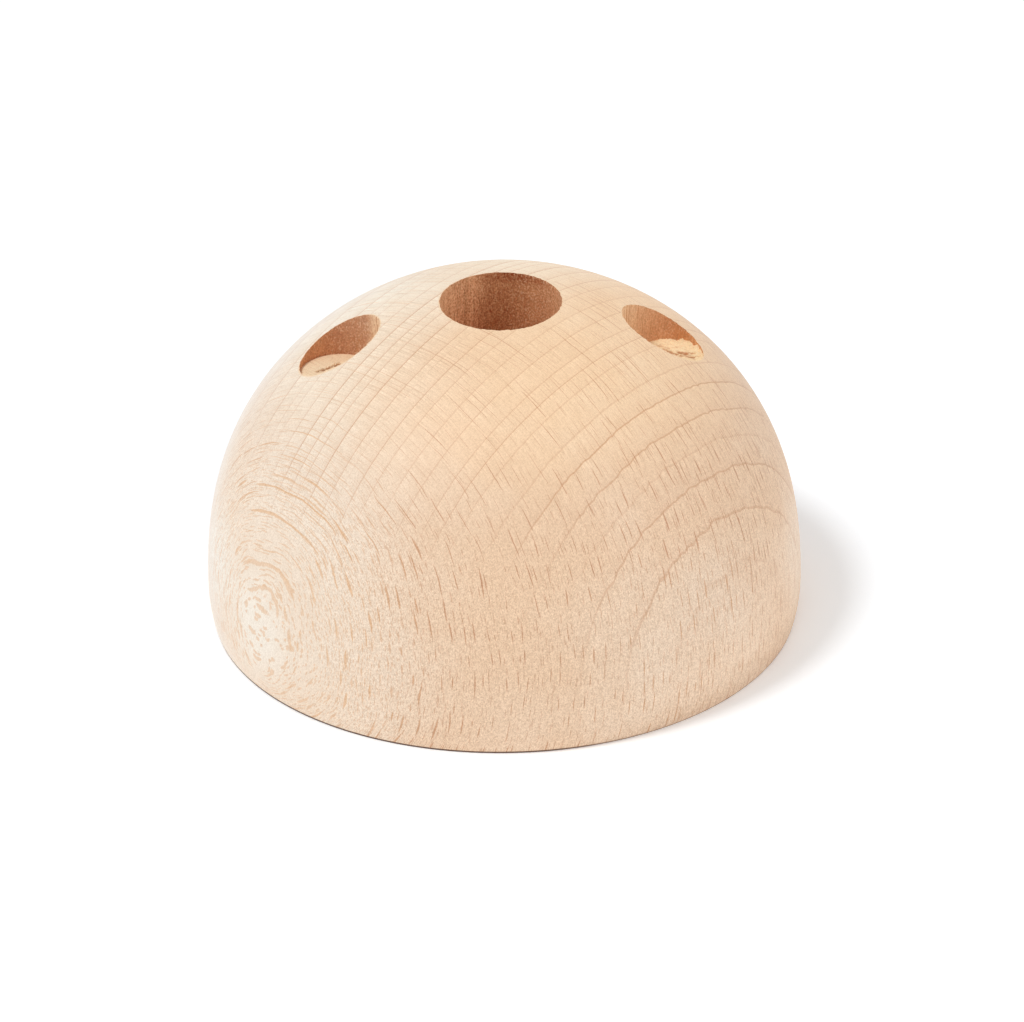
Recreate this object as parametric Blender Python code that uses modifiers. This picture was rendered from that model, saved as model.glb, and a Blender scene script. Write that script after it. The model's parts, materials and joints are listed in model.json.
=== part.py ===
"""A half ball of turned beech on a flat base, with three blind bores drilled into its top.

Everything is in metres, with +Z up. The origin is the centre of the base, and the two side bores
lie along X, one on each side of the centre bore.
"""
import math

import bpy

# Body
BODY_RADIUS = 0.075         # at the widest place
WIDEST_HEIGHT = 0.009       # of the widest place above the base
CROWN_RISE = 0.0795         # from the widest place to the crown, before the centre bore
RADIUS_EXPONENT = 1.92      # the dome is a superellipse: 2 and 2 would make it an ellipse
RISE_EXPONENT = 2.37        # a little more than 2 gives the full shoulders
FOOT_CURVE_RADIUS = 0.034   # of the curve that turns the side in, below the widest place
BASE_ARRIS = 0.0004         # the sanded corner between the side and the base

# Centre bore
CENTRE_BORE_DIAMETER = 0.030
CENTRE_BORE_DEPTH = 0.035   # from its rim

# Side bores
SIDE_BORE_DIAMETER = 0.020
SIDE_BORE_OFFSET = 0.0404   # from the body's axis to the bore's
SIDE_BORE_LIP = 0.0015      # wall height that the floor leaves at the outer, lowest side

# Facets
BODY_SIDES = 96
DOME_RINGS = 22
FOOT_RINGS = 4
BORE_SIDES = 48
CUTTER_OVERRUN = 0.010      # of each cutter past the crown
SMOOTH_LIMIT = math.radians(30)
MERGE_DISTANCE = 0.00001

BEECH_COLOUR = (0.82, 0.64, 0.47, 1.0)
BEECH_ROUGHNESS = 0.6


def clear_scene():
    """Remove the objects of the open file."""
    for old in list(bpy.data.objects):
        bpy.data.objects.remove(old, do_unlink=True)


def new_collection(name):
    """Return a new collection, linked to the scene."""
    collection = bpy.data.collections.new(name)
    bpy.context.scene.collection.children.link(collection)
    return collection


def wood_material(name, colour, roughness):
    """Return a bare wood finish."""
    material = bpy.data.materials.new(name)
    material.use_nodes = True
    shader = material.node_tree.nodes["Principled BSDF"]
    shader.inputs["Base Color"].default_value = colour
    shader.inputs["Roughness"].default_value = roughness
    shader.inputs["Metallic"].default_value = 0.0
    return material


def dome_height(radius):
    """Return the height of the dome's surface at a distance from the axis."""
    share = min(1.0, radius / BODY_RADIUS)
    return WIDEST_HEIGHT + CROWN_RISE * (1.0 - share ** RADIUS_EXPONENT) ** (1.0 / RISE_EXPONENT)


def dome_points():
    """Return the dome's outline as (radius, height), from the crown down to the widest place."""
    points = []
    for ring in range(DOME_RINGS + 1):
        angle = 0.5 * math.pi * ring / DOME_RINGS
        radius = BODY_RADIUS * math.sin(angle) ** (2.0 / RADIUS_EXPONENT)
        rise = CROWN_RISE * max(0.0, math.cos(angle)) ** (2.0 / RISE_EXPONENT)
        points.append((radius, WIDEST_HEIGHT + rise))
    return points


def foot_inset(drop):
    """Return how far the side has turned in at a drop below the widest place."""
    return FOOT_CURVE_RADIUS - math.sqrt(FOOT_CURVE_RADIUS ** 2 - drop ** 2)


def foot_points():
    """Return the outline from below the widest place to the middle of the base."""
    curve_drop = WIDEST_HEIGHT - BASE_ARRIS
    points = []
    for ring in range(1, FOOT_RINGS + 1):
        drop = curve_drop * ring / FOOT_RINGS
        points.append((BODY_RADIUS - foot_inset(drop), WIDEST_HEIGHT - drop))
    points.append((points[-1][0] - BASE_ARRIS, 0.0))
    points.append((0.0, 0.0))
    return points


def turned_solid(name, outline, sides, collection):
    """Return a solid made by turning an outline, given from the top down, about the Z axis."""
    mesh = bpy.data.meshes.new(name)
    mesh.from_pydata([(radius, 0.0, height) for radius, height in outline],
                     [(index, index + 1) for index in range(len(outline) - 1)], [])
    turned = bpy.data.objects.new(name, mesh)
    collection.objects.link(turned)
    screw = turned.modifiers.new("Turning", "SCREW")
    screw.axis = "Z"
    screw.steps = sides
    screw.render_steps = sides
    screw.use_merge_vertices = True
    screw.merge_threshold = MERGE_DISTANCE
    return turned


def bore_cutter(name, diameter, centre_x, floor_height, collection):
    """Return an upright drill body that reaches from a bore's floor to past the crown."""
    top = WIDEST_HEIGHT + CROWN_RISE + CUTTER_OVERRUN
    bpy.ops.mesh.primitive_cylinder_add(
        vertices=BORE_SIDES, radius=0.5 * diameter, depth=top - floor_height,
        location=(centre_x, 0.0, 0.5 * (top + floor_height)))
    cutter = bpy.context.object
    cutter.name = name
    for owner in list(cutter.users_collection):
        owner.objects.unlink(cutter)
    collection.objects.link(cutter)
    cutter.hide_render = True
    cutter.display_type = "WIRE"
    return cutter


def drill(body, cutter):
    """Cut a bore into the body."""
    cut = body.modifiers.new(cutter.name, "BOOLEAN")
    cut.operation = "DIFFERENCE"
    cut.solver = "EXACT"
    cut.object = cutter


def shade_round(body):
    """Give the body its final mesh, smooth except along its rims and its base."""
    bpy.context.view_layer.update()
    evaluated = body.evaluated_get(bpy.context.evaluated_depsgraph_get())
    mesh = bpy.data.meshes.new_from_object(evaluated)
    body.modifiers.clear()
    body.data = mesh
    mesh.name = body.name
    mesh.shade_smooth()
    mesh.set_sharp_from_angle(angle=SMOOTH_LIMIT)


def build():
    """Model the half ball and its cutters."""
    clear_scene()
    parts = new_collection("Half ball balance trainer")
    cutters = new_collection("Cutters")

    half_ball = turned_solid("half_ball", dome_points() + foot_points(), BODY_SIDES, parts)

    centre_floor = dome_height(0.5 * CENTRE_BORE_DIAMETER) - CENTRE_BORE_DEPTH
    side_floor = dome_height(SIDE_BORE_OFFSET + 0.5 * SIDE_BORE_DIAMETER) - SIDE_BORE_LIP
    drill(half_ball, bore_cutter("centre_bore", CENTRE_BORE_DIAMETER, 0.0, centre_floor, cutters))
    for side, name in ((-1, "left_bore"), (1, "right_bore")):
        drill(half_ball, bore_cutter(name, SIDE_BORE_DIAMETER, side * SIDE_BORE_OFFSET, side_floor, cutters))

    shade_round(half_ball)
    half_ball.data.materials.append(wood_material("beech", BEECH_COLOUR, BEECH_ROUGHNESS))


build()
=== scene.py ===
"""The look of the half ball balance trainer: one block of turned, drilled and sanded beech.

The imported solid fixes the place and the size. A finer block is turned over it, its three bores are
drilled and their rims are frayed, and the wood gets the rings, rays and pores that beech has.
Lengths are in metres, apart from the wood's own, which are in millimetres and say so.
"""

import json
import logging
import math
from dataclasses import dataclass, field
from enum import Enum
from typing import Mapping, Sequence

import bmesh
import bpy
from mathutils import Matrix, Vector, noise


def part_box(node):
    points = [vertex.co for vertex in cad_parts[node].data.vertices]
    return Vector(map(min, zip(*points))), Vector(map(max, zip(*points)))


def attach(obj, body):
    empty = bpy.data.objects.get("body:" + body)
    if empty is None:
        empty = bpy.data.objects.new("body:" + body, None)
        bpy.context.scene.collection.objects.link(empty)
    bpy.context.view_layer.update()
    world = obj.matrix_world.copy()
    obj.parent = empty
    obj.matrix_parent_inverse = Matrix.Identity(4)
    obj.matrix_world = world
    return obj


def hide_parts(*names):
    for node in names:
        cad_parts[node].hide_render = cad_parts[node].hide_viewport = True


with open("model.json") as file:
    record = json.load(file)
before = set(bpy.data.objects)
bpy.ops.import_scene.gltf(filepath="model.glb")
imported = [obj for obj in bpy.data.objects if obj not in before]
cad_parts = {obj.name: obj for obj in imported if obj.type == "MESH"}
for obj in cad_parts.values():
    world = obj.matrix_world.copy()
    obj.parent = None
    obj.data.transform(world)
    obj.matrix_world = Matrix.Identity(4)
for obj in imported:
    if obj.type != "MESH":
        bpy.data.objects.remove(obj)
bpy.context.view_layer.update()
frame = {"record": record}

log = logging.getLogger("half_ball")

NODE = "half_ball"
MM_PER_M = 1000.0
MERGE_DISTANCE = 1e-6
SLIVER_WIDTH = 5e-6                     # what the drills leave that is narrower is closed up
CENTRE_BORE_RADIUS = 0.0153             # the mouths measure a little over the drills
SIDE_BORE_RADIUS = 0.0102
BORE_RADII = {
    "centre_bore_floor": CENTRE_BORE_RADIUS,
    "left_bore_floor": SIDE_BORE_RADIUS,
    "right_bore_floor": SIDE_BORE_RADIUS,
}
UP = (0.0, 0.0, 1.0)

Colour = tuple[float, float, float]


def mount_place(name: str) -> Vector:
    """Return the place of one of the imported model's mounts.

    Args:
        name: The mount's name in the record.

    Returns:
        Its point, in metres.
    """
    found = next(mount for mount in frame["record"]["mounts"] if mount["name"] == name)
    return Vector(found["pos_m"])


class Wire:
    """One output of a node, which sums can be written with."""

    def __init__(self, bench: "Bench", socket: bpy.types.NodeSocket) -> None:
        """Hold a socket and the bench that it is on."""
        self.bench = bench
        self.socket = socket

    def __add__(self, other: "Wire | float") -> "Wire":
        """Return this plus another."""
        return self.bench.math("ADD", self, other)

    def __radd__(self, other: float) -> "Wire":
        """Return a number plus this."""
        return self.bench.math("ADD", other, self)

    def __sub__(self, other: "Wire | float") -> "Wire":
        """Return this less another."""
        return self.bench.math("SUBTRACT", self, other)

    def __rsub__(self, other: float) -> "Wire":
        """Return a number less this."""
        return self.bench.math("SUBTRACT", other, self)

    def __mul__(self, other: "Wire | float") -> "Wire":
        """Return this times another."""
        return self.bench.math("MULTIPLY", self, other)

    def __rmul__(self, other: float) -> "Wire":
        """Return a number times this."""
        return self.bench.math("MULTIPLY", other, self)

    def __truediv__(self, other: "Wire | float") -> "Wire":
        """Return this over another."""
        return self.bench.math("DIVIDE", self, other)

    def __pow__(self, other: float) -> "Wire":
        """Return this raised to a power."""
        return self.bench.math("POWER", self, other)


class Bench:
    """Lays out the nodes of one finish."""

    def __init__(self, tree: bpy.types.NodeTree) -> None:
        """Take the tree that the nodes go into."""
        self.tree = tree

    def place(self, kind: str, settings: Mapping[str, object] | None = None,
              inputs: Mapping[str | int, object] | None = None) -> bpy.types.Node:
        """Add a node, set it, and then fill its sockets.

        Args:
            kind: The node's type.
            settings: The node's own settings. "stops" is a ramp's list of (position, colour).
            inputs: A value or a wire for each named or numbered socket.

        Returns:
            The node.
        """
        made = self.tree.nodes.new(kind)
        for name, value in (settings or {}).items():
            if name == "stops":
                self._set_stops(made.color_ramp, value)
            elif name == "interpolation" and kind == "ShaderNodeValToRGB":
                made.color_ramp.interpolation = value
            else:
                setattr(made, name, value)
        for key, value in (inputs or {}).items():
            if isinstance(value, Wire):
                self.tree.links.new(value.socket, made.inputs[key])
            else:
                made.inputs[key].default_value = value
        return made

    @staticmethod
    def _set_stops(ramp: bpy.types.ColorRamp, stops: Sequence[tuple[float, Colour]]) -> None:
        """Put a ramp's stops in place of the two that it starts with."""
        while len(ramp.elements) > 1:
            ramp.elements.remove(ramp.elements[-1])
        ramp.elements[0].position, ramp.elements[0].color = stops[0][0], (*stops[0][1], 1.0)
        for position, colour in stops[1:]:
            ramp.elements.new(position).color = (*colour, 1.0)

    def wire(self, kind: str, settings: Mapping[str, object] | None = None,
             inputs: Mapping[str | int, object] | None = None, output: str | int = 0) -> Wire:
        """Add a node as place does, and return one of its outputs."""
        return Wire(self, self.place(kind, settings, inputs).outputs[output])

    def math(self, operation: str, *terms: "Wire | float") -> Wire:
        """Return the result of a Math node on wires and numbers."""
        return self.wire("ShaderNodeMath", {"operation": operation}, dict(enumerate(terms)))

    def vector_math(self, operation: str, *terms: "Wire | Sequence[float]",
                    output: str = "Vector") -> Wire:
        """Return the result of a Vector Math node."""
        return self.wire("ShaderNodeVectorMath", {"operation": operation}, dict(enumerate(terms)), output)

    def combine(self, x: "Wire | float", y: "Wire | float", z: "Wire | float") -> Wire:
        """Return a vector made of three numbers."""
        return self.wire("ShaderNodeCombineXYZ", None, {"X": x, "Y": y, "Z": z})

    def step(self, value: Wire, low: "Wire | float", high: "Wire | float") -> Wire:
        """Return 0 up to low and 1 from high, with a smooth rise between."""
        settings = {"interpolation_type": "SMOOTHSTEP"}
        limits = {"Value": value, "From Min": low, "From Max": high}
        return self.wire("ShaderNodeMapRange", settings, limits)

    def split(self, vector: Wire) -> list[Wire]:
        """Return the three parts of a vector or of a colour."""
        parts = self.place("ShaderNodeSeparateXYZ", None, {"Vector": vector})
        return [Wire(self, parts.outputs[axis]) for axis in "XYZ"]

    def cloud(self, at: Wire, scale: float, detail: float = 2.0) -> Wire:
        """Return smooth noise between 0 and 1, mostly near a half."""
        return self.wire("ShaderNodeTexNoise", {"noise_dimensions": "3D"},
                         {"Vector": at, "Scale": scale, "Detail": detail})

    def blend(self, share: "Wire | float", first: "Wire | Colour", second: "Wire | Colour",
              how: str = "MIX") -> Wire:
        """Return a colour between two colours.

        Args:
            share: 0 for the first colour and 1 for the second.
            first: The colour below.
            second: The colour above.
            how: The way that they are mixed.

        Returns:
            The mixed colour.
        """
        settings = {"data_type": "RGBA", "blend_type": how, "clamp_factor": True}
        return self.wire("ShaderNodeMix", settings,
                         {0: share, 6: opaque(first), 7: opaque(second)}, output=2)


def opaque(colour: "Wire | Colour") -> "Wire | tuple[float, float, float, float]":
    """Return a colour with the alpha that a colour socket needs."""
    return colour if isinstance(colour, Wire) else (*colour, 1.0)


@dataclass(frozen=True)
class Ring:
    """One year's growth."""

    width: float            # in millimetres
    mark: float             # how dark the line is that ends it, from 0 to 1


def growth_rings() -> tuple[Ring, ...]:
    """Return the rings that cross the block, from the one nearest the pith outwards."""
    inner = ((5.0, 0.5), (4.5, 0.7), (4.5, 0.4), (5.0, 0.8), (4.5, 0.5), (5.0, 0.6))
    left = ((7.5, 0.5), (7.5, 0.6), (4.5, 0.4), (3.0, 0.5), (5.0, 0.5), (5.0, 1.0),
            (4.0, 0.9), (3.0, 0.7), (4.5, 1.0), (5.5, 0.9), (2.0, 0.3), (4.0, 0.8))
    middle = ((4.0, 0.5), (5.5, 0.4), (5.0, 0.5), (5.5, 0.5), (3.5, 0.8), (3.5, 0.4), (7.0, 0.4))
    right = ((5.0, 0.9), (6.0, 0.8), (5.0, 0.4), (4.5, 0.9), (5.5, 0.8), (4.5, 0.4))
    return tuple(Ring(width, mark) for width, mark in inner + left + middle + right)


@dataclass(frozen=True)
class RayKind:
    """One size of ray: a thin upright plate that runs out from the pith. Lengths are in millimetres."""

    spacing: float          # from ray to ray round the tree
    rise: float             # from ray to ray up the tree
    run: float              # from ray to ray outwards
    thickness: float
    height: float
    share: float            # of the places that hold a ray
    depth: float            # how strongly it shows, from 0 to 1
    turn: tuple[float, float] = (0.90, 0.995)   # how flat along the rays the surface lies where that changes


@dataclass(frozen=True)
class PaleWoodAndLightPatch:
    """A place where the wood is paler, partly its own colour and partly painted light. Lengths are in
    millimetres.
    """

    middle: tuple[float, float, float]
    inner: float            # how far the full paleness reaches
    outer: float            # where it has gone
    amount: float           # 0 to 1


@dataclass(frozen=True)
class Grain:
    """Where the wood's parts lie in the block. The tree's pith stands behind the left side and leans."""

    pith: tuple[float, float] = (-192.6, 170.6)     # in millimetres from the block's axis
    pith_height: float = 60.0                       # where the pith has that place
    lean: tuple[float, float] = (0.062, 0.052)      # how far the tree leans for each unit of height
    first_ring: float = 181.6                       # inner radius of the first ring, in millimetres
    mean_radius: float = 257.0                      # of the block's middle from the pith
    wander: float = 0.5                             # how far a ring strays from round
    scallop: float = 0.9                            # how far a ring sags between its broad rays
    rings: tuple[Ring, ...] = field(default_factory=growth_rings)
    pale_wood_and_light_patches: tuple[PaleWoodAndLightPatch, ...] = (
        # Painted light in part: the patch at the bullseye, the two at the left and right outlines and the
        # two on the crown stand in for the lamp's highlight and the white room's sheen; the rest are paler
        # wood.
        PaleWoodAndLightPatch((-64.0, -39.0, 20.0), 2.0, 20.0, 0.92),
        PaleWoodAndLightPatch((-78.0, -15.0, 25.0), 5.0, 20.0, 0.9),
        PaleWoodAndLightPatch((-15.0, 40.0, 85.0), 22.0, 58.0, 0.65),
        PaleWoodAndLightPatch((-32.0, 4.0, 80.0), 8.0, 36.0, 0.40),
        PaleWoodAndLightPatch((48.0, -70.0, 5.0), 20.0, 60.0, 0.24),
        PaleWoodAndLightPatch((-4.0, -76.0, 4.0), 3.0, 24.0, 0.15),
        PaleWoodAndLightPatch((75.0, -15.0, 22.0), 5.0, 25.0, 0.3),
        PaleWoodAndLightPatch((50.5, -53.0, 32.0), 4.0, 20.0, 0.12),
    )
    rays: tuple[RayKind, ...] = (
        RayKind(spacing=0.32, rise=1.5, run=4.0, thickness=0.15, height=2.2, share=0.94, depth=0.31,
                turn=(0.60, 0.90)),
        RayKind(spacing=1.1, rise=3.6, run=18.0, thickness=0.25, height=5.0, share=0.68, depth=0.68),
        RayKind(spacing=1.9, rise=6.4, run=44.0, thickness=0.36, height=9.5, share=0.60, depth=0.98),
    )

    def span(self) -> float:
        """Return the width of all the rings together, in millimetres."""
        return sum(ring.width for ring in self.rings)


class Cut(Enum):
    """How a surface of the block was worked."""

    SANDED = "beech_sanded"
    BORED = "beech_bored"
    FLOOR = "beech_floor"


@dataclass(frozen=True)
class Palette:
    """The colours of the wood on one kind of surface, as light reflected from 0 to 1."""

    pale: Colour
    warm: Colour
    ring: Colour
    ray: Colour
    flake: Colour
    roughness: float
    mottle: float           # how much the pores darken and lighten it
    relief: float           # how deep the pores are, in metres


PALETTES = {
    Cut.SANDED: Palette(pale=(0.93, 0.845, 0.735), warm=(0.845, 0.600, 0.405), ring=(0.60, 0.32, 0.17),
                        ray=(0.58, 0.30, 0.17), flake=(0.79, 0.51, 0.30), roughness=0.5, mottle=0.55,
                        relief=0.0001),
    Cut.BORED: Palette(pale=(0.78, 0.41, 0.215), warm=(0.76, 0.38, 0.19), ring=(0.66, 0.33, 0.16),
                       ray=(0.60, 0.29, 0.135), flake=(0.56, 0.27, 0.13), roughness=0.75, mottle=0.45,
                       relief=0.0004),
    Cut.FLOOR: Palette(pale=(0.97, 0.765, 0.54), warm=(0.94, 0.755, 0.49), ring=(0.92, 0.70, 0.46),
                       ray=(0.88, 0.64, 0.41), flake=(0.88, 0.66, 0.43), roughness=0.65, mottle=0.65,
                       relief=0.0002),
}
RIM_WARM = (0.93, 0.68, 0.43)
# Painted contact shadow: the thin dark line where the foot meets the table.
FOOT_SHADOW_PAINT = (0.15, 0.08, 0.05)
# Painted glow: a near-white band along the left outline, standing in for the white room's flare over the
# edge.
EDGE_GLOW_PAINT = (0.97, 0.94, 0.90)
EDGE_GLOW_VIEW = (0.0, -0.867, 0.497)    # the painted glow stands where the surface turns away from this direction, the camera's
# Torn fibre darkened with painted shade, laid into the deep furrows of the bore floors.
TORN_FIBRE_AND_SHADE = (0.55, 0.21, 0.075)
WALL_SPECK = (0.93, 0.66, 0.45)
RAY_EVEN_DEPTH = 0.62                   # how strongly all rays show where the surface lies along them


@dataclass(frozen=True)
class WallTone:
    """How the bored walls look at one place from side to side, painted light and shade included."""

    east: float             # in millimetres from the block's axis
    colour: Colour
    fuzz: float             # how much torn fibre stands on the wall, from 0 to 1


def wall_tones() -> tuple[WallTone, ...]:
    """Return the tones of the walls of the three bores, from the left to the right. Their colours are partly
    the drilled wood's own browner colour and partly painted light and shade, such as the pale end of each
    side bore that faces the main lamp and the lightened left of the centre bore's wall.
    """
    left = ((-50.4, (0.74, 0.37, 0.195), 0.0), (-44.0, (0.65, 0.31, 0.16), 0.2),
            (-41.0, (0.56, 0.26, 0.14), 0.8), (-33.3, (0.58, 0.305, 0.18), 1.0),
            (-31.2, (0.90, 0.64, 0.42), 0.1))
    centre = ((-15.0, (0.91, 0.53, 0.295), 0.2), (-6.5, (0.85, 0.47, 0.255), 0.3),
              (-2.0, (0.53, 0.235, 0.105), 0.3), (3.5, (0.53, 0.235, 0.105), 0.6),
              (8.0, (0.63, 0.30, 0.145), 1.0), (15.0, (0.76, 0.405, 0.22), 0.7))
    right = ((31.0, (0.81, 0.53, 0.32), 0.0), (34.5, (0.76, 0.45, 0.26), 0.1),
             (38.0, (0.70, 0.37, 0.20), 0.2), (43.0, (0.63, 0.30, 0.15), 0.6),
             (46.0, (0.61, 0.265, 0.11), 0.7), (50.4, (0.76, 0.40, 0.19), 0.5))
    return tuple(WallTone(*row) for row in left + centre + right)


@dataclass(frozen=True)
class GrainPlace:
    """Where a point of the wood lies in the tree, in millimetres, and how its surface cuts the grain."""

    block: Wire             # from the middle of the base
    east: Wire              # the same, to the right only
    radius: Wire            # out from the pith
    around: Wire            # round the pith, at the block's mean distance
    height: Wire            # up the tree
    along_rays: Wire        # 1 where the surface lies flat along the rays
    end_grain: Wire         # 1 where the surface cuts straight across the tree
    bullseye: Wire          # 1 only where it lies almost flat along the rays


@dataclass(frozen=True)
class BeechFinish:
    """Bare beech, solid all through: rings about the pith, rays out from it, and pores along it."""

    cut: Cut
    grain: Grain = field(default_factory=Grain)

    def make(self) -> bpy.types.Material:
        """Return the finish as a material."""
        material = bpy.data.materials.new(self.cut.value)
        material.use_nodes = True
        shader = material.node_tree.nodes["Principled BSDF"]
        bench = Bench(material.node_tree)
        palette = PALETTES[self.cut]
        place = self._place(bench)

        order = self._ring_order(bench, place)
        rays = [self._rays(bench, place, kind) for kind in self.grain.rays]
        pores = self._pores(bench, place)

        tone = self._tone(bench, place)
        colour = bench.blend(tone, palette.pale, palette.warm)
        if self.cut is Cut.BORED:
            # On the bored walls the colour follows the wall tones, which carry painted light and shade as
            # well as the wood's colour.
            colour = self._wall_ramp(bench, place, [wall.colour for wall in wall_tones()])
        colour = bench.blend(self._ring_mark(bench, place, order), colour, palette.ring)
        colour = self._add_rays(bench, place, colour, rays, tone)
        shades = self._shades(bench, place, order, pores)
        colour = bench.blend(1.0, colour, shades, "MULTIPLY")
        height = pores - rays[-1] * 0.6 - rays[-2] * 0.3
        if self.cut is Cut.SANDED:
            # Painted light: a near-white glow up the left outline.
            colour = bench.blend(self._painted_edge_glow(bench, place), colour, EDGE_GLOW_PAINT)
            colour = bench.blend(self._rim_line(bench, place) * 0.8, colour, RIM_WARM)
            # Painted shadow: the dark contact line under the foot.
            colour = bench.blend(self._foot_painted_shadow(bench, place), colour, FOOT_SHADOW_PAINT)
        if self.cut is Cut.BORED:
            colour, height = self._rub_wall(bench, place, colour, height)
        if self.cut is Cut.FLOOR:
            floor = mount_place("right_bore_floor").z * MM_PER_M
            # The furrows darken the deeper they go: partly torn fibre, partly painted shade in the recesses.
            torn = bench.step(floor - place.height, 0.18, 0.62) * 0.75
            colour = bench.blend(torn, colour, TORN_FIBRE_AND_SHADE)
        relief = bench.wire("ShaderNodeBump", None,
                            {"Strength": 0.4, "Distance": palette.relief, "Height": height})

        bench.tree.links.new(colour.socket, shader.inputs["Base Color"])
        rough = palette.roughness + (pores - 0.5) * 0.12 - rays[-1] * 0.08
        bench.tree.links.new(rough.socket, shader.inputs["Roughness"])
        bench.tree.links.new(relief.socket, shader.inputs["Normal"])
        return material

    def _add_rays(self, bench: Bench, place: GrainPlace, colour: Wire, rays: Sequence[Wire],
                  tone: Wire) -> Wire:
        """Return the wood's colour with the rays laid over it."""
        palette = PALETTES[self.cut]
        broadside = bench.math("MAXIMUM", bench.step(place.along_rays, 0.72, 0.97), 1.5 - tone * 1.5)
        ray_colour = bench.blend(broadside, palette.ray, palette.flake)
        plain_sawn = 1.0 - bench.step(place.along_rays, 0.05, 0.45)
        for kind, there in zip(self.grain.rays, rays):
            even = bench.step(place.along_rays, *kind.turn)
            depth = even * (RAY_EVEN_DEPTH - kind.depth) + kind.depth
            colour = bench.blend(there * (depth * (1.0 + plain_sawn * 0.25)), colour, ray_colour)
        return colour

    def _shades(self, bench: Bench, place: GrainPlace, order: Wire, pores: Wire) -> Wire:
        """Return what the colour is multiplied by: fine grain, blocks, painted light on the crown and a
        darker foot on the right.
        """
        east = place.east
        # Painted light: the crown is made lighter, standing in for light from above.
        crown = bench.step(place.height, 56.0, 80.0) * (bench.step(east, -25.0, 15.0) * 0.06 + 0.07)
        foot = (1.0 - bench.step(place.height, 2.0, 10.0)) * bench.step(east, -5.0, 40.0) * 0.13
        flat = bench.step(place.end_grain, 0.30, 0.75)
        grainy = PALETTES[self.cut].mottle * (1.0 - flat * 0.45 - place.bullseye * 0.45)
        shade = (self._cells(bench, place) - 0.5) * grainy * 0.58 + (pores - 0.5) * grainy * 0.56
        shade = shade + self._blocks(bench, place, order) - foot
        red = 1.0 + shade * 0.8 + crown
        green = 1.0 + shade + crown
        blue = 1.0 + shade * 1.2 + crown * 0.5
        return bench.combine(red, green, blue)

    def _place(self, bench: Bench) -> GrainPlace:
        """Return where each point lies in the tree."""
        grain = self.grain
        here = bench.wire("ShaderNodeTexCoord", output="Object")
        normal = bench.wire("ShaderNodeTexCoord", output="Normal")
        block = bench.vector_math("MULTIPLY", here, (MM_PER_M,) * 3)
        across, _, height = bench.split(block)
        above = height - grain.pith_height
        east, north, _ = bench.split(bench.vector_math("SUBTRACT", block, (*grain.pith, 0.0)))
        east = east - above * grain.lean[0]
        north = north - above * grain.lean[1]
        level = bench.combine(east, north, 0.0)
        round_tree = bench.vector_math("NORMALIZE", bench.vector_math("CROSS_PRODUCT", level, UP))
        slant = bench.vector_math("DOT_PRODUCT", round_tree, (*grain.lean, 0.0), output="Value")
        upright = bench.vector_math("DOT_PRODUCT", normal, UP, output="Value")
        along = bench.vector_math("DOT_PRODUCT", round_tree, normal, output="Value") - slant * upright
        along_rays = bench.math("ABSOLUTE", along)
        bullseye = bench.step(along_rays, 0.90, 0.995)
        around = bench.math("ARCTAN2", north, east) * grain.mean_radius
        bend = bench.cloud(bench.combine(around / 6.0, north / 14.0, height / 24.0), 1.0, 1.0)
        curl = bench.cloud(bench.combine(around / 1.2, north / 1.2, height / 2.6), 1.0, 1.0)
        return GrainPlace(
            block=block,
            east=across,
            radius=bench.vector_math("LENGTH", level, output="Value"),
            around=around + (bend - 0.5) * 1.8 + (curl - 0.5) * (bullseye * 0.04 + 0.16),
            height=height,
            along_rays=along_rays,
            end_grain=bench.math("ABSOLUTE", upright),
            bullseye=bullseye,
        )

    def _tone(self, bench: Bench, place: GrainPlace) -> Wire:
        """Return how warm the ground colour is, from 0 to 1: paler on the left, partly the wood's drift and
        partly painted light from the main lamp on that side, with the paler patches.
        """
        # Painted light in part: the left side, toward the main lamp, is made paler.
        tone = bench.step(place.east, -50.0, -10.0) * 0.58 + 0.41
        for patch in self.grain.pale_wood_and_light_patches:
            away = bench.vector_math("DISTANCE", place.block, patch.middle, output="Value")
            kept = bench.step(away, patch.inner, patch.outer) * patch.amount + (1.0 - patch.amount)
            tone = tone * kept
        drift = bench.cloud(place.block, 0.05, 2.0)
        return bench.math("MAXIMUM", 0.0, bench.math("MINIMUM", 1.0, tone + (drift - 0.5) * 0.4))

    def _ring_order(self, bench: Bench, place: GrainPlace) -> Wire:
        """Return each point's place among the rings: a whole number at each ring's start."""
        grain = self.grain
        outward = bench.step(place.radius, 280.0, 312.0)
        stray = (bench.cloud(place.block, 0.07, 3.0) - 0.5) * (grain.wander * 2.0)
        stray = stray * (outward * 0.8 + 0.2)
        across = bench.combine(place.around / 4.5, place.radius / 30.0, place.height / 22.0)
        sag = bench.math("ABSOLUTE", bench.cloud(across, 1.0, 1.0) - 0.5)
        sag = sag * (grain.scallop * 2.0) * outward
        share = (place.radius + stray + sag - grain.first_ring) / grain.span()
        count = len(grain.rings)
        edges = [0.0]
        for ring in grain.rings:
            edges.append(edges[-1] + ring.width / grain.span())
        stops = [(edge, (number / count,) * 3) for number, edge in enumerate(edges)]
        return bench.wire("ShaderNodeValToRGB", {"stops": stops}, {"Fac": share}) * float(count)

    def _ring_mark(self, bench: Bench, place: GrainPlace, order: Wire) -> Wire:
        """Return how dark the growth rings make the wood, from 0 to 1, less where the surface is steep."""
        seen = bench.step(place.end_grain, 0.30, 0.75)
        plain = bench.step(place.along_rays, 0.30, 0.70)
        steep = (0.80 - plain * 0.72) * (bench.step(place.height, 12.0, 40.0) * 0.75 + 0.25)
        return self._ring_profile(bench, order) * bench.math("MAXIMUM", seen, steep)

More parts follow.
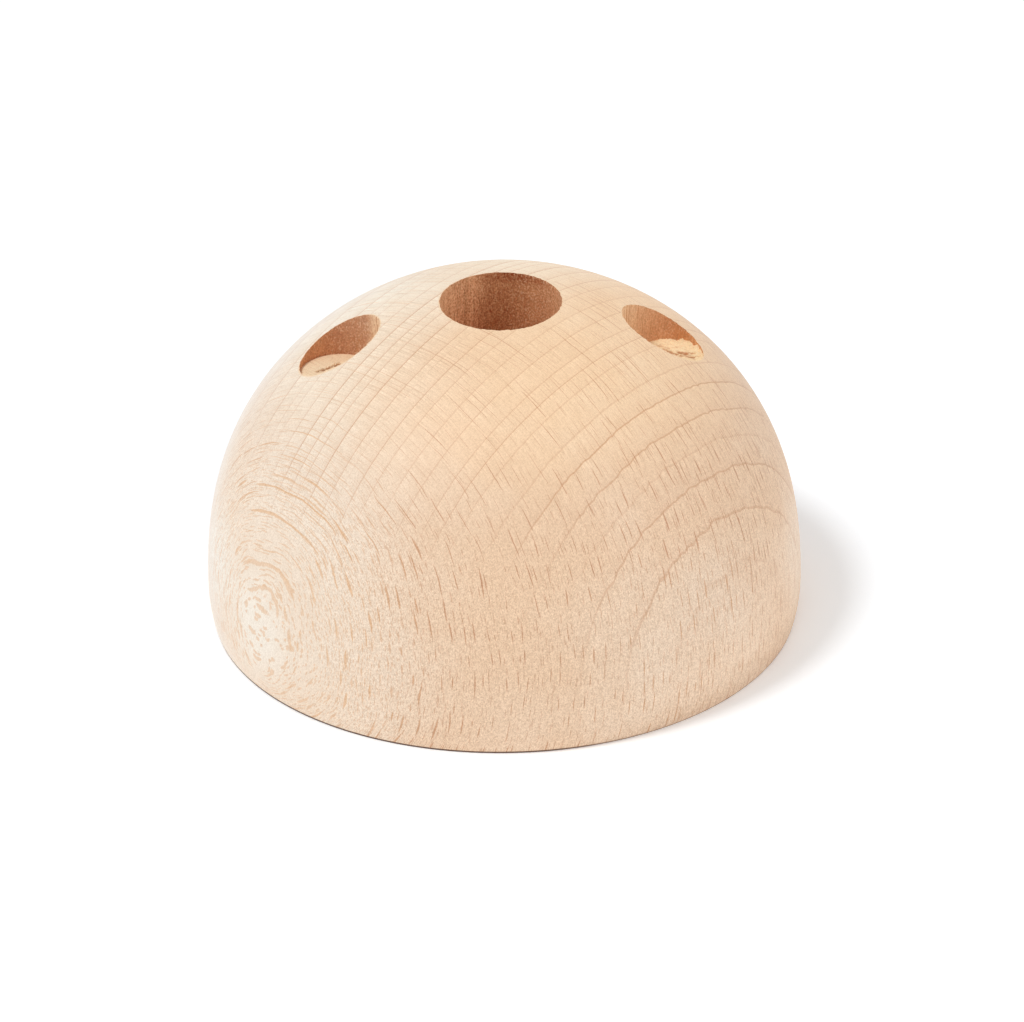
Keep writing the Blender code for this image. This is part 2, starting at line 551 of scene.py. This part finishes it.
    def _blocks(self, bench: Bench, place: GrainPlace, order: Wire) -> Wire:
        """Return how light each small block between two rings and two rays is, around 0."""
        number = bench.math("FLOOR", order)
        early = 1.35 - (order - number)
        flat = bench.step(place.end_grain, 0.30, 0.75)
        broad_at = bench.combine(place.around / 1.5, number * 3.7, place.height / 12.0)
        broad = bench.cloud(broad_at, 1.0, 1.0)
        fine_at = bench.combine(place.around / 0.25, number * 2.3 + place.radius / 9.0, place.height / 3.0)
        fine = bench.cloud(fine_at, 1.0, 0.0)
        plain = 1.0 - bench.step(place.along_rays, 0.40, 0.90) * 0.8
        hatch = flat * (0.25 - bench.step(place.east, -30.0, 0.0) * 0.19) + 0.16
        return (broad - 0.5) * early * (flat * 0.08 + 0.02) + (fine - 0.5) * early * plain * hatch

    @staticmethod
    def _wall_ramp(bench: Bench, place: GrainPlace, colours: Sequence[Colour]) -> Wire:
        """Return a colour that follows the bored walls from side to side, with one for each wall tone."""
        tones = wall_tones()
        low, high = tones[0].east, tones[-1].east
        stops = [((tone.east - low) / (high - low), colour) for tone, colour in zip(tones, colours)]
        share = (place.east - low) / (high - low)
        return bench.wire("ShaderNodeValToRGB", {"stops": stops}, {"Fac": share})

    def _rub_wall(self, bench: Bench, place: GrainPlace, colour: Wire, height: Wire) -> tuple[Wire, Wire]:
        """Add what the drill leaves on a wall: rubbed upright fibres, faint bands and torn fuzz.

        Args:
            bench: Where the nodes go.
            place: Where each point lies.
            colour: The wood's colour.
            height: The wood's relief.

        Returns:
            The new colour and the new relief.
        """
        east, north, up = bench.split(place.block)
        level = bench.combine(east, north, up * 0.10)
        band = bench.cloud(level, 0.4, 1.0)
        fibre = bench.cloud(level, 1.5, 2.0)
        line = 1.0 - bench.step(bench.math("ABSOLUTE", fibre - 0.5), 0.0, 0.030)
        curls = bench.cloud(bench.vector_math("MULTIPLY", place.block, (1.0, 1.0, 0.7)), 2.6, 1.0)
        patchy = bench.step(bench.cloud(place.block, 0.3, 1.0), 0.30, 0.60)
        fuzz = self._wall_ramp(bench, place, [(tone.fuzz,) * 3 for tone in wall_tones()])
        fuzz = bench.split(fuzz)[0] * (patchy * 0.6 + 0.4)
        # A darker band on the centre bore's wall just under its rim, right of its middle.
        dark_rim_band = bench.step(up, 83.0, 86.2) * self._stretch(bench, east, (-6.0, 3.0), (9.0, 14.0))
        centre = self._stretch(bench, east, (-20.0, -15.0), (15.0, 20.0))
        back = self._stretch(bench, east, (-11.0, -6.0), (1.0, 5.0))
        left_end = 1.0 - bench.step(east, -46.0, -38.0)
        rubbed = 0.14 - fuzz * 0.10 + back * 0.16 + centre * 0.06 + left_end * 0.12
        rough = bench.math("MAXIMUM", curls - 0.5, fuzz * 0.12 - 0.20)
        rough = rough * (centre * 0.9 - bench.step(east, 25.0, 35.0) * 0.4 + 1.0)
        dim = (band - 0.5) * (centre * 0.14 + 0.22) + rough - line * rubbed - dark_rim_band * 0.42
        dims = bench.combine(1.0 + dim * 0.62, 1.0 + dim, 1.0 + dim * 1.2)
        colour = bench.blend(1.0, colour, dims, "MULTIPLY")
        specks = bench.step(curls, 0.55, 0.66) * fuzz
        colour = bench.blend(specks * 0.55, colour, WALL_SPECK)
        return colour, height + curls * fuzz * 0.8 - line * 0.1

    @staticmethod
    def _stretch(bench: Bench, value: Wire, start: Sequence[float], end: Sequence[float]) -> Wire:
        """Return 1 between a soft start and a soft end, and 0 outside them."""
        return bench.step(value, *start) * (1.0 - bench.step(value, *end))

    def _painted_edge_glow(self, bench: Bench, place: GrainPlace) -> Wire:
        """Return the painted glow, from 0 to 1: a soft near-white band up the left outline, standing in for
        the white room's light flaring over the edge.
        """
        normal = bench.wire("ShaderNodeTexCoord", output="Normal")
        facing = bench.vector_math("DOT_PRODUCT", normal, EDGE_GLOW_VIEW, output="Value")
        band = bench.step(facing, -0.18, 0.0) * (1.0 - bench.step(facing, 0.0, 0.36))
        return band * (1.0 - bench.step(place.east, -45.0, -8.0)) * 0.55

    def _rim_line(self, bench: Bench, place: GrainPlace) -> Wire:
        """Return where the warm line round each bore's mouth is, from 0 to 1."""
        level = bench.vector_math("MULTIPLY", place.block, (1.0, 1.0, 0.0))
        line = bench.step(place.height, 50.0, 60.0)
        gap = None
        for name, radius in BORE_RADII.items():
            axis = mount_place(name) * MM_PER_M
            reach = bench.vector_math("DISTANCE", level, (axis.x, axis.y, 0.0), output="Value")
            away = reach - radius * MM_PER_M
            gap = bench.math("MINIMUM", gap, away) if gap else away
        return line * (1.0 - bench.step(gap, 0.10, 0.45))

    def _foot_painted_shadow(self, bench: Bench, place: GrainPlace) -> Wire:
        """Return where the painted contact shadow under the foot is, from 0 to 1: thinner and fainter on the
        right.
        """
        east = place.east
        top = 0.50 - bench.step(east, -20.0, 40.0) * 0.24 - (1.0 - bench.step(east, -74.0, -62.0)) * 0.3
        line = 1.0 - bench.step(place.height, top - 0.04, top + 0.04)
        return line * (1.0 - bench.step(east, 0.0, 45.0) * 0.60)

    def _ring_profile(self, bench: Bench, order: Wire) -> Wire:
        """Return the darkening across each ring, strongest in the line that ends it."""
        count = len(self.grain.rings)
        marks = [(number / count, (ring.mark,) * 3) for number, ring in enumerate(self.grain.rings)]
        strength = bench.wire("ShaderNodeValToRGB", {"interpolation": "CONSTANT", "stops": marks},
                              {"Fac": (bench.math("FLOOR", order) + 0.5) / count})
        levels = ((0.0, 0.40), (0.02, 0.0), (0.40, 0.04), (0.75, 0.11), (0.93, 0.22), (0.96, 1.0),
                  (1.0, 0.9))
        stops = [(at, (level,) * 3) for at, level in levels]
        profile = bench.wire("ShaderNodeValToRGB", {"stops": stops}, {"Fac": bench.math("FRACT", order)})
        return strength * profile * 0.82

    @staticmethod
    def _rays(bench: Bench, place: GrainPlace, rays: RayKind) -> Wire:
        """Return where the rays of one size are, from 0 to 1."""
        at = bench.combine(place.around / rays.spacing, place.radius / rays.run, place.height / rays.rise)
        cell = bench.place("ShaderNodeTexVoronoi", {"feature": "F1"},
                           {"Vector": at, "Scale": 1.0, "Randomness": 0.85})
        middle = Wire(bench, cell.outputs["Position"])
        across, out, up = bench.split(bench.vector_math("SUBTRACT", at, middle))
        wide, tall, chance = bench.split(Wire(bench, cell.outputs["Color"]))
        slim = 1.0 - bench.step(place.end_grain, 0.45, 0.85) * 0.38 - place.bullseye * 0.20
        slim = slim - bench.step(place.along_rays, 0.05, 0.60) * 0.32
        slim = slim + bench.step(place.along_rays, 0.68, 0.90) * 0.38
        half_thickness = (wide * 0.45 + 0.55) * slim * (0.5 * rays.thickness / rays.spacing)
        shorter = 1.0 - bench.step(place.radius, 252.0, 292.0) * 0.15
        half_height = (tall * 0.55 + 0.45) * shorter * (0.5 * rays.height / rays.rise)
        off = bench.math("ABSOLUTE", across) / half_thickness
        end = (up / half_height) ** 2.0
        away = off + end + (out * 1.35) ** 2.0
        there = 1.0 - bench.step(chance, rays.share - 0.02, rays.share)
        return (1.0 - bench.step(away, 0.7, 1.2)) * there

    @staticmethod
    def _cells(bench: Bench, place: GrainPlace) -> Wire:
        """Return how light each of the wood's finest cells is, from 0 to 1."""
        per_mm = (4.4, 4.4, 2.8)
        at = bench.vector_math("MULTIPLY", place.block, per_mm)
        cell = bench.wire("ShaderNodeTexVoronoi", {"feature": "F1"}, {"Vector": at, "Scale": 1.0}, "Color")
        return bench.split(cell)[0]

    @staticmethod
    def _pores(bench: Bench, place: GrainPlace) -> Wire:
        """Return the fine pores, drawn out along the tree."""
        return bench.cloud(bench.vector_math("MULTIPLY", place.block, (1.0, 1.0, 0.8)), 3.5, 0.0)


@dataclass(frozen=True)
class Tear:
    """A ragged furrow in a bore's floor, where the drill tore the fibres out. Lengths are in millimetres."""

    path: tuple[tuple[float, float], ...]       # seen from above
    width: float
    depth: float

    def depth_at(self, at: Vector) -> float:
        """Return its depth at a place in the block."""
        here = at.to_2d()
        reach = min(self._distance(here, Vector(first), Vector(last))
                    for first, last in zip(self.path, self.path[1:]))
        ragged = 1.0 + 1.2 * noise.noise(at * 1.3) + 0.9 * noise.noise(at * 3.1)
        return self.depth * max(0.0, 1.0 - (2.0 * reach / (self.width * max(0.2, ragged))) ** 2)

    @staticmethod
    def _distance(here: Vector, first: Vector, last: Vector) -> float:
        """Return the distance from a point to a straight piece of the path."""
        along = last - first
        share = max(0.0, min(1.0, (here - first).dot(along) / along.length_squared))
        return (here - first - along * share).length


@dataclass
class Bore:
    """One blind bore, drilled straight down."""

    name: str
    radius: float
    floor: Vector                   # the middle of its floor
    roughness: float = 0.0          # how deep its floor is torn all over, in millimetres
    bank: float = 0.0               # how high torn wood stands against its outer wall
    bank_width: float = 0.0026
    bank_reach: float = 0.0035      # how far up the wall the bank pushes the rubbed wood
    tears: tuple[Tear, ...] = ()
    sides: int = 192
    wall_step: float = 0.0007
    floor_step: float = 0.00025
    groove_width: float = 0.0004    # of the ring that the drill's edge scores round the floor
    groove_depth: float = 0.0003
    floor_fade: float = 0.0006      # how wide the torn floor fades out beside the groove
    floor_skin: float = 0.0001      # how far over the floor's height a point still belongs to it
    strand_push: float = 0.00009    # how far the upright fibres stand out from the wall
    fuzz_push: float = 0.00007

    def floor_section(self) -> list[tuple[float, float]]:
        """Return the floor's section as (radius, height above the floor), from the middle outwards."""
        flat = self.radius - 1.5 * self.groove_width
        rings = round(flat / self.floor_step)
        section = [(flat * (ring + 1) / rings, 0.0) for ring in range(rings)]
        section.append((self.radius - self.groove_width, -self.groove_depth))
        section.append((self.radius, -self.groove_depth))
        return section

    def cutter(self, top: float, slots: Sequence[bpy.types.Material]) -> bpy.types.Object:
        """Model the drill's path, as a solid to take away from the block.

        Args:
            top: The height that it reaches, above the crown.
            slots: The block's finishes, in the order of the cuts.

        Returns:
            The closed solid.
        """
        section = self.floor_section()
        bpy.ops.mesh.primitive_circle_add(vertices=self.sides, radius=section[0][0],
                                          fill_type="TRIFAN", location=self.floor)
        path = bpy.context.object
        path.name = self.name
        bpy.ops.object.mode_set(mode="EDIT")
        select_open_edge(path)
        for before, after in zip(section, section[1:]):
            share = after[0] / before[0]
            bpy.ops.mesh.extrude_edges_move()
            bpy.ops.transform.resize(value=(share, share, 1.0), center_override=self.floor)
            bpy.ops.transform.translate(value=(0.0, 0.0, after[1] - before[1]))
        rise = top - self.floor.z - section[-1][1]
        rings = math.ceil(rise / self.wall_step)
        for _ in range(rings):
            bpy.ops.mesh.extrude_edges_move(TRANSFORM_OT_translate={"value": (0.0, 0.0, rise / rings)})
        bpy.ops.mesh.edge_face_add()
        bpy.ops.mesh.select_all(action="SELECT")
        bpy.ops.mesh.normals_make_consistent(inside=False)
        bpy.ops.object.mode_set(mode="OBJECT")
        bpy.ops.object.transform_apply(location=True, rotation=True, scale=True)
        self._dress(path, slots)
        self._tear_floor(path)
        self._raise_bank(path)
        self._raise_fibres(path)
        return path

    def _tear_floor(self, path: bpy.types.Object) -> None:
        """Leave the floor as the drill did: a little uneven, with torn splinters and furrows."""
        for point in path.data.vertices:
            reach = (point.co - self.floor).to_2d().length
            if point.co.z > self.floor.z + self.floor_skin or reach > self.radius - self.groove_width:
                continue
            at = point.co * MM_PER_M
            depth = sum(tear.depth_at(at) for tear in self.tears)
            depth += 0.03 * noise.noise(at * 1.3) + self.roughness * self._splinters(at)
            fade = min(1.0, (self.radius - self.groove_width - reach) / self.floor_fade)
            point.co.z -= max(0.0, fade) * depth / MM_PER_M

    def _raise_bank(self, path: bpy.types.Object) -> None:
        """Leave a ragged bank of torn wood between the floor and the outer wall."""
        if not self.bank:
            return
        outer = Vector((math.copysign(1.0, self.floor.x), 0.0))
        for point in path.data.vertices:
            out = (point.co - self.floor).to_2d()
            above = point.co.z - self.floor.z
            if above > self.bank_reach or out.length < 0.3 * self.radius:
                continue
            at = point.co * MM_PER_M
            side = max(0.0, min(1.0, (out.normalized().dot(outer) + 0.45) / 0.9))
            near = max(0.0, 1.0 - (self.radius - out.length) / self.bank_width)
            level = Vector((at.x, at.y, 3.0))
            ragged = 0.75 + 0.7 * noise.noise(level * 0.9) + 0.4 * noise.noise(level * 2.3)
            lift = self.bank * max(0.0, ragged) * side * side * (3.0 - 2.0 * side) * near * near
            point.co.z += lift * min(1.0, 1.0 - above / self.bank_reach)

    @staticmethod
    def _splinters(at: Vector) -> float:
        """Return how deep the torn fibres lie at a place on the floor, from 0 to 1."""
        drawn = Vector((0.30 * at.x - 0.19 * at.y, 0.64 * at.x + 1.02 * at.y, 7.0))
        strands = noise.ridged_multi_fractal(drawn * 0.8, 1.0, 2.1, 4.0, 1.0, 2.0)
        chips = noise.noise(drawn * 2.2)
        return max(0.0, 0.85 - 0.4 * strands + 0.35 * chips)

    def _raise_fibres(self, path: bpy.types.Object) -> None:
        """Leave upright fibres standing a little proud of the wall."""
        axis = self.floor.to_2d()
        for point in path.data.vertices:
            out = point.co.to_2d() - axis
            if out.length < self.radius * 0.999:
                continue
            turn = math.atan2(out.y, out.x) * self.radius * MM_PER_M
            height = point.co.z * MM_PER_M
            strand = noise.noise(Vector((turn * 1.6, height * 0.28, self.floor.x * 100.0)))
            fuzz = noise.noise(Vector((turn * 3.1, height * 1.3, 5.0)))
            push = out.normalized() * (self.strand_push * strand + self.fuzz_push * fuzz)
            point.co.x += push.x
            point.co.y += push.y

    def _dress(self, path: bpy.types.Object, slots: Sequence[bpy.types.Material]) -> None:
        """Give the floor and the wall the finishes that they leave in the block."""
        for material in slots:
            path.data.materials.append(material)
        order = list(Cut)
        for face in path.data.polygons:
            top = max(path.data.vertices[corner].co.z for corner in face.vertices)
            low = top < self.floor.z + 0.1 * self.floor_skin
            face.material_index = order.index(Cut.FLOOR if low else Cut.BORED)


def select_open_edge(piece: bpy.types.Object) -> None:
    """Select only the edges at the open rim of a mesh in edit mode."""
    bpy.ops.mesh.select_mode(type="EDGE")
    bpy.ops.mesh.select_all(action="DESELECT")
    shape = bmesh.from_edit_mesh(piece.data)
    for edge in shape.edges:
        edge.select_set(edge.is_boundary)
    bmesh.update_edit_mesh(piece.data)


def select_only(piece: bpy.types.Object) -> None:
    """Select one piece and make it the active one."""
    bpy.ops.object.select_all(action="DESELECT")
    bpy.context.view_layer.objects.active = piece
    piece.select_set(True)


@dataclass
class HalfBall:
    """The block itself: a turned half ball on a flat base, with a wide bore between two narrower ones."""

    low: Vector
    high: Vector
    widest_height: float = 0.009
    crown_rise: float = 0.0795
    radius_exponent: float = 1.92
    rise_exponent: float = 2.37
    foot_curve_radius: float = 0.034
    foot_gap: float = 0.0005        # height of the narrow step under the foot
    foot_step: float = 0.00015      # how far it stands in
    centre_bore_radius: float = CENTRE_BORE_RADIUS
    side_bore_radius: float = SIDE_BORE_RADIUS
    rim_merge: float = 0.00012      # points on a rim that are closer than this are joined
    rim_fray: float = 0.00016
    drill_run: float = 0.008        # how far over the crown the drills start
    smooth_limit: float = math.radians(35.0)
    sides: int = 256
    dome_rings: int = 108
    foot_rings: int = 12
    base_rings: int = 5

    @property
    def radius(self) -> float:
        """The body's radius at its widest place."""
        return 0.5 * (self.high.x - self.low.x)

    def outline(self) -> list[tuple[float, float]]:
        """Return the turned outline as (radius, height), from the crown to the middle of the base."""
        points = []
        for ring in range(self.dome_rings + 1):
            angle = 0.5 * math.pi * ring / self.dome_rings
            across = self.radius * math.sin(angle) ** (2.0 / self.radius_exponent)
            rise = self.crown_rise * max(0.0, math.cos(angle)) ** (2.0 / self.rise_exponent)
            points.append((across, self.widest_height + rise))
        curve_drop = self.widest_height - self.foot_gap
        for ring in range(1, self.foot_rings + 1):
            drop = curve_drop * ring / self.foot_rings
            inset = self.foot_curve_radius - math.sqrt(self.foot_curve_radius ** 2 - drop ** 2)
            points.append((self.radius - inset, self.widest_height - drop))
        edge = points[-1][0] - self.foot_step
        points.append((edge, self.foot_gap))
        for ring in range(self.base_rings + 1):
            points.append((edge * (1.0 - ring / self.base_rings), 0.0))
        return points

    def build(self, slots: Sequence[bpy.types.Material]) -> bpy.types.Object:
        """Turn the block, drill it and fray its rims.

        Args:
            slots: The finishes, in the order of the cuts.

        Returns:
            The finished piece.
        """
        block = self._turn()
        for material in slots:
            block.data.materials.append(material)
        for bore in self.bores():
            self._drill(block, bore.cutter(self.high.z + self.drill_run, slots))
        self._clean_rims(block)
        self._fray_rims(block)
        self._shade(block)
        return block

    def bores(self) -> list[Bore]:
        """Return the three bores, each at its packed floor."""
        scratch = Tear(((-46.0, 1.0), (-43.8, 2.2), (-40.4, 4.6)), width=0.9, depth=1.4)
        furrows = (Tear(((40.9, 6.3), (43.4, 3.8), (45.4, 2.2), (49.6, 0.9)), width=0.55, depth=0.75),
                   Tear(((44.6, 4.4), (48.8, 3.0)), width=0.6, depth=0.8))
        centre, left, right = (mount_place(name) for name in BORE_RADII)
        return [
            Bore("centre_bore", self.centre_bore_radius, centre, sides=256),
            Bore("left_bore", self.side_bore_radius, left, tears=(scratch,)),
            Bore("right_bore", self.side_bore_radius, right, roughness=0.7, bank=0.0013,
                 groove_depth=0.0001, tears=furrows),
        ]

    def _turn(self) -> bpy.types.Object:
        """Turn the outline about the block's axis."""
        outline = self.outline()
        bpy.ops.mesh.primitive_plane_add(size=0.01, location=(0.0, 0.0, 0.0))
        block = bpy.context.object
        block.name = "turned_half_ball"
        bpy.ops.object.mode_set(mode="EDIT")
        bpy.ops.mesh.select_all(action="SELECT")
        bpy.ops.mesh.merge(type="CENTER")
        bpy.ops.transform.translate(value=(outline[0][0], 0.0, outline[0][1]))
        for before, after in zip(outline, outline[1:]):
            move = (after[0] - before[0], 0.0, after[1] - before[1])
            bpy.ops.mesh.extrude_vertices_move(TRANSFORM_OT_translate={"value": move})
        bpy.ops.mesh.select_all(action="SELECT")
        bpy.ops.mesh.spin(steps=self.sides, angle=math.tau, center=(0.0, 0.0, 0.0), axis=UP)
        bpy.ops.mesh.select_all(action="SELECT")
        bpy.ops.mesh.remove_doubles(threshold=MERGE_DISTANCE)
        bpy.ops.mesh.normals_make_consistent(inside=False)
        bpy.ops.object.mode_set(mode="OBJECT")
        return block

    def _drill(self, block: bpy.types.Object, path: bpy.types.Object) -> None:
        """Take a drill's path away from the block."""
        select_only(block)
        cut = block.modifiers.new(path.name, "BOOLEAN")
        cut.operation = "DIFFERENCE"
        cut.solver = "EXACT"
        cut.object = path
        bpy.ops.object.modifier_apply(modifier=cut.name)
        bpy.data.objects.remove(path, do_unlink=True)

    def _clean_rims(self, block: bpy.types.Object) -> None:
        """Close up the slivers that the drilling leaves, and even out the points along the rims."""
        select_only(block)
        bpy.ops.object.mode_set(mode="EDIT")
        bpy.ops.mesh.select_all(action="SELECT")
        bpy.ops.mesh.remove_doubles(threshold=SLIVER_WIDTH)
        bpy.ops.mesh.dissolve_degenerate(threshold=SLIVER_WIDTH)
        bpy.ops.mesh.select_mode(type="EDGE")
        bpy.ops.mesh.select_all(action="DESELECT")
        shape = bmesh.from_edit_mesh(block.data)
        sanded = list(Cut).index(Cut.SANDED)
        for edge in shape.edges:
            cuts = {face.material_index for face in edge.link_faces}
            edge.select_set(len(cuts) == 2 and sanded in cuts)
        bmesh.update_edit_mesh(block.data)
        bpy.ops.mesh.remove_doubles(threshold=self.rim_merge)
        bpy.ops.mesh.select_mode(type="FACE")
        bpy.ops.mesh.select_face_by_sides(number=4, type="GREATER")
        bpy.ops.mesh.quads_convert_to_tris(quad_method="BEAUTY", ngon_method="BEAUTY")
        bpy.ops.object.mode_set(mode="OBJECT")

    def _fray_rims(self, block: bpy.types.Object) -> None:
        """Leave the rims a little ragged, as a drill does."""
        outside = list(Cut).index(Cut.SANDED)
        aside = Vector((9.0, 0.0, 0.0))
        sanded, drilled = set(), set()
        for face in block.data.polygons:
            corners = sanded if face.material_index == outside else drilled
            corners.update(face.vertices)
        for corner in sorted(sanded & drilled):
            point = block.data.vertices[corner]
            at = point.co * MM_PER_M
            push = Vector((noise.noise(at * 1.1), noise.noise(at * 1.1 + aside)))
            push += 0.6 * Vector((noise.noise(at * 2.3), noise.noise(at * 2.3 + aside)))
            point.co.x += push.x * self.rim_fray
            point.co.y += push.y * self.rim_fray
            point.co.z = min(point.co.z, self.high.z)

    def _shade(self, block: bpy.types.Object) -> None:
        """Shade the block smooth, apart from its sharp corners."""
        select_only(block)
        bpy.ops.object.shade_smooth_by_angle(angle=self.smooth_limit)


@dataclass
class PhotoCamera:
    """The camera, standing where the photograph was taken from."""

    distance: float = 2.25
    elevation: float = math.radians(29.321)
    azimuth: float = math.radians(-2.981)
    aim_height: float = 0.03375
    roll: float = math.radians(0.807)
    tilt: float = math.radians(-0.153)
    swing: float = math.radians(-0.0537)
    lens: float = 313.99
    sensor: float = 36.0

    def build(self) -> bpy.types.Object:
        """Return the camera, made and set as the scene's own."""
        data = bpy.data.cameras.new("photo_camera")
        data.lens = self.lens
        data.sensor_width = self.sensor
        data.clip_end = 20.0
        camera = bpy.data.objects.new("photo_camera", data)
        bpy.context.scene.collection.objects.link(camera)
        camera.matrix_world = self._stand()
        bpy.context.scene.camera = camera
        return camera

    def _stand(self) -> Matrix:
        """Return the camera's place and turn."""
        about = Matrix.Rotation(self.azimuth, 3, "Z")
        right = about @ Vector((1.0, 0.0, 0.0))
        back = about @ Vector((0.0, -math.cos(self.elevation), math.sin(self.elevation)))
        up = about @ Vector((0.0, math.sin(self.elevation), math.cos(self.elevation)))
        aim = (Matrix.Rotation(self.roll, 3, "Z") @ Matrix.Rotation(self.tilt, 3, "X")
               @ Matrix.Rotation(self.swing, 3, "Y"))
        rows = aim @ Matrix((right, up, -back))
        turn = Matrix((rows[0], rows[1], -rows[2])).transposed()
        place = Vector((0.0, 0.0, self.aim_height)) + back * self.distance
        return Matrix.Translation(place) @ turn.to_4x4()


@dataclass
class Lamp:
    """One soft lamp, aimed at the block."""

    name: str
    azimuth: float          # degrees to the right of the camera's side, seen from above
    elevation: float        # degrees above the table
    distance: float
    size: float
    power: float

    def build(self, aim: Vector) -> bpy.types.Object:
        """Return the lamp, made and aimed at a point."""
        data = bpy.data.lights.new(self.name, "AREA")
        data.shape = "DISK"
        data.size = self.size
        data.energy = self.power
        lamp = bpy.data.objects.new(self.name, data)
        bpy.context.scene.collection.objects.link(lamp)
        turn, rise = math.radians(self.azimuth), math.radians(self.elevation)
        level = math.cos(rise)
        away = Vector((math.sin(turn) * level, -math.cos(turn) * level, math.sin(rise)))
        lamp.location = aim + away * self.distance
        lamp.rotation_euler = away.to_track_quat("Z", "Y").to_euler()
        return lamp


@dataclass
class Studio:
    """A white table in a white room, with the main light high on the left."""

    table_size: float = 8.0
    table_drop: float = 0.00002
    room_light: float = 0.57
    table_light: float = 0.22
    table_white: Colour = (1.15, 1.19, 1.23)    # over 1, so that a camera sees only the shadows as grey
    lamp_aim: tuple[float, float, float] = (0.0, 0.0, 0.04)
    lamps: tuple[Lamp, ...] = (
        Lamp("main_lamp", azimuth=-69.0, elevation=62.0, distance=3.2, size=0.80, power=36.0),
        Lamp("right_lamp", azimuth=60.0, elevation=26.0, distance=3.2, size=1.60, power=15.5),
    )

    def build(self) -> None:
        """Make the table, the room and the lamps."""
        self._build_table()
        self._light_room()
        for lamp in self.lamps:
            lamp.build(Vector(self.lamp_aim))
            log.info("lamp %s", lamp.name)
        bpy.context.scene.view_settings.view_transform = "Standard"

    def _build_table(self) -> None:
        """Lay a white table under the block."""
        bpy.ops.mesh.primitive_plane_add(size=self.table_size, location=(0.0, 0.0, -self.table_drop))
        table = bpy.context.object
        table.name = "white_table"
        bpy.ops.object.transform_apply(location=True, rotation=True, scale=True)
        table.data.materials.append(self._table_finish())
        log.info("stage %s", table.name)

    def _table_finish(self) -> bpy.types.Material:
        """Return a matt white that a camera sees as plain white wherever no shadow lies."""
        material = bpy.data.materials.new("white_table")
        material.use_nodes = True
        bench = Bench(material.node_tree)
        bench.tree.nodes.remove(bench.tree.nodes["Principled BSDF"])
        matt = bench.wire("ShaderNodeBsdfDiffuse", None, {"Color": opaque((0.9, 0.9, 0.9))})
        glow = bench.wire("ShaderNodeEmission", None, {"Strength": self.table_light})
        lit = bench.wire("ShaderNodeAddShader", None, {0: matt, 1: glow})
        white = bench.wire("ShaderNodeBsdfDiffuse", None, {"Color": opaque(self.table_white)})
        seen = bench.wire("ShaderNodeLightPath", None, None, "Is Camera Ray")
        both = bench.wire("ShaderNodeMixShader", None, {0: seen, 1: lit, 2: white})
        bench.tree.links.new(both.socket, bench.tree.nodes["Material Output"].inputs["Surface"])
        return material

    def _light_room(self) -> None:
        """Fill the room with even light, and let the camera and reflections see it white."""
        world = bpy.data.worlds.new("white_room")
        bpy.context.scene.world = world
        world.use_nodes = True
        bench = Bench(world.node_tree)
        paths = bench.place("ShaderNodeLightPath")
        kinds = ("Camera", "Glossy", "Transmission")
        white = [Wire(bench, paths.outputs[f"Is {kind} Ray"]) for kind in kinds]
        seen = bench.math("MINIMUM", 1.0, white[0] + white[1] + white[2])
        strength = self.room_light + seen * (1.0 - self.room_light)
        background = bench.tree.nodes["Background"]
        background.inputs["Color"].default_value = (1.0, 1.0, 1.0, 1.0)
        bench.tree.links.new(strength.socket, background.inputs["Strength"])


def report_piece(piece: bpy.types.Object) -> None:
    """Log a finished piece's name and its number of faces."""
    log.info("piece %s: %d faces", piece.name, len(piece.data.polygons))


def main() -> None:
    """Build the camera, the block and the studio, in that order."""
    logging.basicConfig(level=logging.INFO, format="%(name)s: %(message)s")
    PhotoCamera().build()
    low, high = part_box(NODE)
    slots = [BeechFinish(cut).make() for cut in Cut]
    block = HalfBall(low, high).build(slots)
    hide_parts(NODE)
    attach(block, "root")
    report_piece(block)
    Studio().build()


if __name__ == "__main__":
    main()
